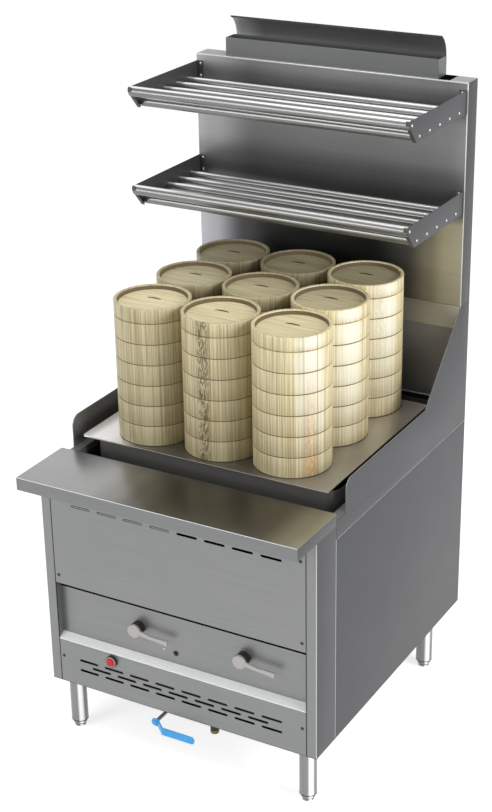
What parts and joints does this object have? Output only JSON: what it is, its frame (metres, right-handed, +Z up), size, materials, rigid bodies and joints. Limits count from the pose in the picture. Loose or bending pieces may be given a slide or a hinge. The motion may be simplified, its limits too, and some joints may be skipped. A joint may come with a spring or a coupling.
{
  "type": "dumpling steamer",
  "caption": "Gas-heated steaming cabinet: stacks of round wooden steamer baskets on a plate over a water tank, work shelf, splash back with flue and tube shelves.",
  "frame": {"origin": "on the floor, under the middle of the outline seen from above", "axes": "+Z up, +Y to the back, +X to the right as seen from the front"},
  "size_m": [0.762, 0.938, 1.71],
  "materials": {
    "steel": "satin",
    "chrome": "polished",
    "cast_iron": "matt",
    "pipe": "satin",
    "brass": "satin",
    "handle": "polished",
    "lamp": "gloss",
    "bezel": "gloss",
    "button": "gloss",
    "lever": "gloss",
    "bamboo": "satin"
  },
  "bodies": {
    "cabinet": {"base_pan": "steel", "left_corner_post": "steel", "right_corner_post": "steel", "left_side_panel": "steel", "right_side_panel": "steel", "left_splash_guard": "steel", "right_splash_guard": "steel", "rear_panel": "steel", "upper_front_panel": "steel", "lower_front_panel": "steel", "control_panel": "steel", "control_ledge": "steel", "work_shelf": "steel", "deck_frame": "steel", "riser": "steel", "flue_chute": "steel", "flue_deflector": "steel", "rear_splash": "steel", "water_tank": "steel", "firebox": "steel", "lower_shelf_brackets": "steel", "upper_shelf_brackets": "steel", "leg_tubes": "steel", "lower_shelf_tubes": "chrome", "upper_shelf_tubes": "chrome", "burners": "cast_iron", "gas_manifold": "pipe", "left_gas_valve": "brass", "right_gas_valve": "brass", "drain_valve": "brass", "inlet_fitting": "brass", "indicator_lamp": "lamp", "button_bezel": "bezel"},
    "left_valve_handle": {"left_valve_handle": "handle"},
    "right_valve_handle": {"right_valve_handle": "handle"},
    "push_button": {"push_button": "button"},
    "drain_lever": {"drain_lever": "lever"},
    "steaming_plate": {"steaming_plate": "steel"},
    "front_left_foot": {"front_left_foot": "steel"},
    "front_right_foot": {"front_right_foot": "steel"},
    "rear_left_foot": {"rear_left_foot": "steel"},
    "rear_right_foot": {"rear_right_foot": "steel"},
    "front_left_stack": {"front_left_stack": "bamboo"},
    "front_left_lid": {"front_left_lid": "bamboo"},
    "front_centre_stack": {"front_centre_stack": "bamboo"},
    "front_centre_lid": {"front_centre_lid": "bamboo"},
    "front_right_stack": {"front_right_stack": "bamboo"},
    "front_right_lid": {"front_right_lid": "bamboo"},
    "middle_left_stack": {"middle_left_stack": "bamboo"},
    "middle_left_lid": {"middle_left_lid": "bamboo"},
    "middle_centre_stack": {"middle_centre_stack": "bamboo"},
    "middle_centre_lid": {"middle_centre_lid": "bamboo"},
    "middle_right_stack": {"middle_right_stack": "bamboo"},
    "middle_right_lid": {"middle_right_lid": "bamboo"},
    "rear_left_stack": {"rear_left_stack": "bamboo"},
    "rear_left_lid": {"rear_left_lid": "bamboo"},
    "rear_centre_stack": {"rear_centre_stack": "bamboo"},
    "rear_centre_lid": {"rear_centre_lid": "bamboo"},
    "rear_right_stack": {"rear_right_stack": "bamboo"},
    "rear_right_lid": {"rear_right_lid": "bamboo"}
  },
  "joints": [
    {"name": "left_valve_turn", "type": "hinge", "parent": "cabinet", "child": "left_valve_handle", "pos_m": [-0.122, -0.377, 0.367], "axis": [0, 1, 0], "range_deg": [0, 90]},
    {"name": "right_valve_turn", "type": "hinge", "parent": "cabinet", "child": "right_valve_handle", "pos_m": [0.176, -0.377, 0.367], "axis": [0, 1, 0], "range_deg": [0, 90]},
    {"name": "button_press", "type": "slide", "parent": "cabinet", "child": "push_button", "axis": [0, 1, 0], "range_m": [0, 0.004], "stiffness_N_per_m": 500},
    {"name": "drain_turn", "type": "hinge", "parent": "cabinet", "child": "drain_lever", "pos_m": [-0.07, -0.377, 0.118], "axis": [0, -1, 0], "range_deg": [0, 90]},
    {"name": "front_left_foot_screw", "type": "slide", "parent": "cabinet", "child": "front_left_foot", "axis": [0, 0, -1], "range_m": [0, 0.02]},
    {"name": "front_right_foot_screw", "type": "slide", "parent": "cabinet", "child": "front_right_foot", "axis": [0, 0, -1], "range_m": [0, 0.02]},
    {"name": "rear_left_foot_screw", "type": "slide", "parent": "cabinet", "child": "rear_left_foot", "axis": [0, 0, -1], "range_m": [0, 0.02]},
    {"name": "rear_right_foot_screw", "type": "slide", "parent": "cabinet", "child": "rear_right_foot", "axis": [0, 0, -1], "range_m": [0, 0.02]},
    {"name": "plate_lift", "type": "slide", "parent": "cabinet", "child": "steaming_plate", "axis": [0, 0, 1], "range_m": [0, 0.03]},
    {"name": "front_left_stack_lift", "type": "slide", "parent": "steaming_plate", "child": "front_left_stack", "axis": [0, 0, 1], "range_m": [0, 0.05]},
    {"name": "front_left_lid_lift", "type": "slide", "parent": "front_left_stack", "child": "front_left_lid", "axis": [0, 0, 1], "range_m": [0, 0.045]},
    {"name": "front_centre_stack_lift", "type": "slide", "parent": "steaming_plate", "child": "front_centre_stack", "axis": [0, 0, 1], "range_m": [0, 0.05]},
    {"name": "front_centre_lid_lift", "type": "slide", "parent": "front_centre_stack", "child": "front_centre_lid", "axis": [0, 0, 1], "range_m": [0, 0.045]},
    {"name": "front_right_stack_lift", "type": "slide", "parent": "steaming_plate", "child": "front_right_stack", "axis": [0, 0, 1], "range_m": [0, 0.05]},
    {"name": "front_right_lid_lift", "type": "slide", "parent": "front_right_stack", "child": "front_right_lid", "axis": [0, 0, 1], "range_m": [0, 0.045]},
    {"name": "middle_left_stack_lift", "type": "slide", "parent": "steaming_plate", "child": "middle_left_stack", "axis": [0, 0, 1], "range_m": [0, 0.05]},
    {"name": "middle_left_lid_lift", "type": "slide", "parent": "middle_left_stack", "child": "middle_left_lid", "axis": [0, 0, 1], "range_m": [0, 0.045]},
    {"name": "middle_centre_stack_lift", "type": "slide", "parent": "steaming_plate", "child": "middle_centre_stack", "axis": [0, 0, 1], "range_m": [0, 0.05]},
    {"name": "middle_centre_lid_lift", "type": "slide", "parent": "middle_centre_stack", "child": "middle_centre_lid", "axis": [0, 0, 1], "range_m": [0, 0.045]},
    {"name": "middle_right_stack_lift", "type": "slide", "parent": "steaming_plate", "child": "middle_right_stack", "axis": [0, 0, 1], "range_m": [0, 0.05]},
    {"name": "middle_right_lid_lift", "type": "slide", "parent": "middle_right_stack", "child": "middle_right_lid", "axis": [0, 0, 1], "range_m": [0, 0.045]},
    {"name": "rear_left_stack_lift", "type": "slide", "parent": "steaming_plate", "child": "rear_left_stack", "axis": [0, 0, 1], "range_m": [0, 0.05]},
    {"name": "rear_left_lid_lift", "type": "slide", "parent": "rear_left_stack", "child": "rear_left_lid", "axis": [0, 0, 1], "range_m": [0, 0.045]},
    {"name": "rear_centre_stack_lift", "type": "slide", "parent": "steaming_plate", "child": "rear_centre_stack", "axis": [0, 0, 1], "range_m": [0, 0.05]},
    {"name": "rear_centre_lid_lift", "type": "slide", "parent": "rear_centre_stack", "child": "rear_centre_lid", "axis": [0, 0, 1], "range_m": [0, 0.045]},
    {"name": "rear_right_stack_lift", "type": "slide", "parent": "steaming_plate", "child": "rear_right_stack", "axis": [0, 0, 1], "range_m": [0, 0.05]},
    {"name": "rear_right_lid_lift", "type": "slide", "parent": "rear_right_stack", "child": "rear_right_lid", "axis": [0, 0, 1], "range_m": [0, 0.045]}
  ]
}
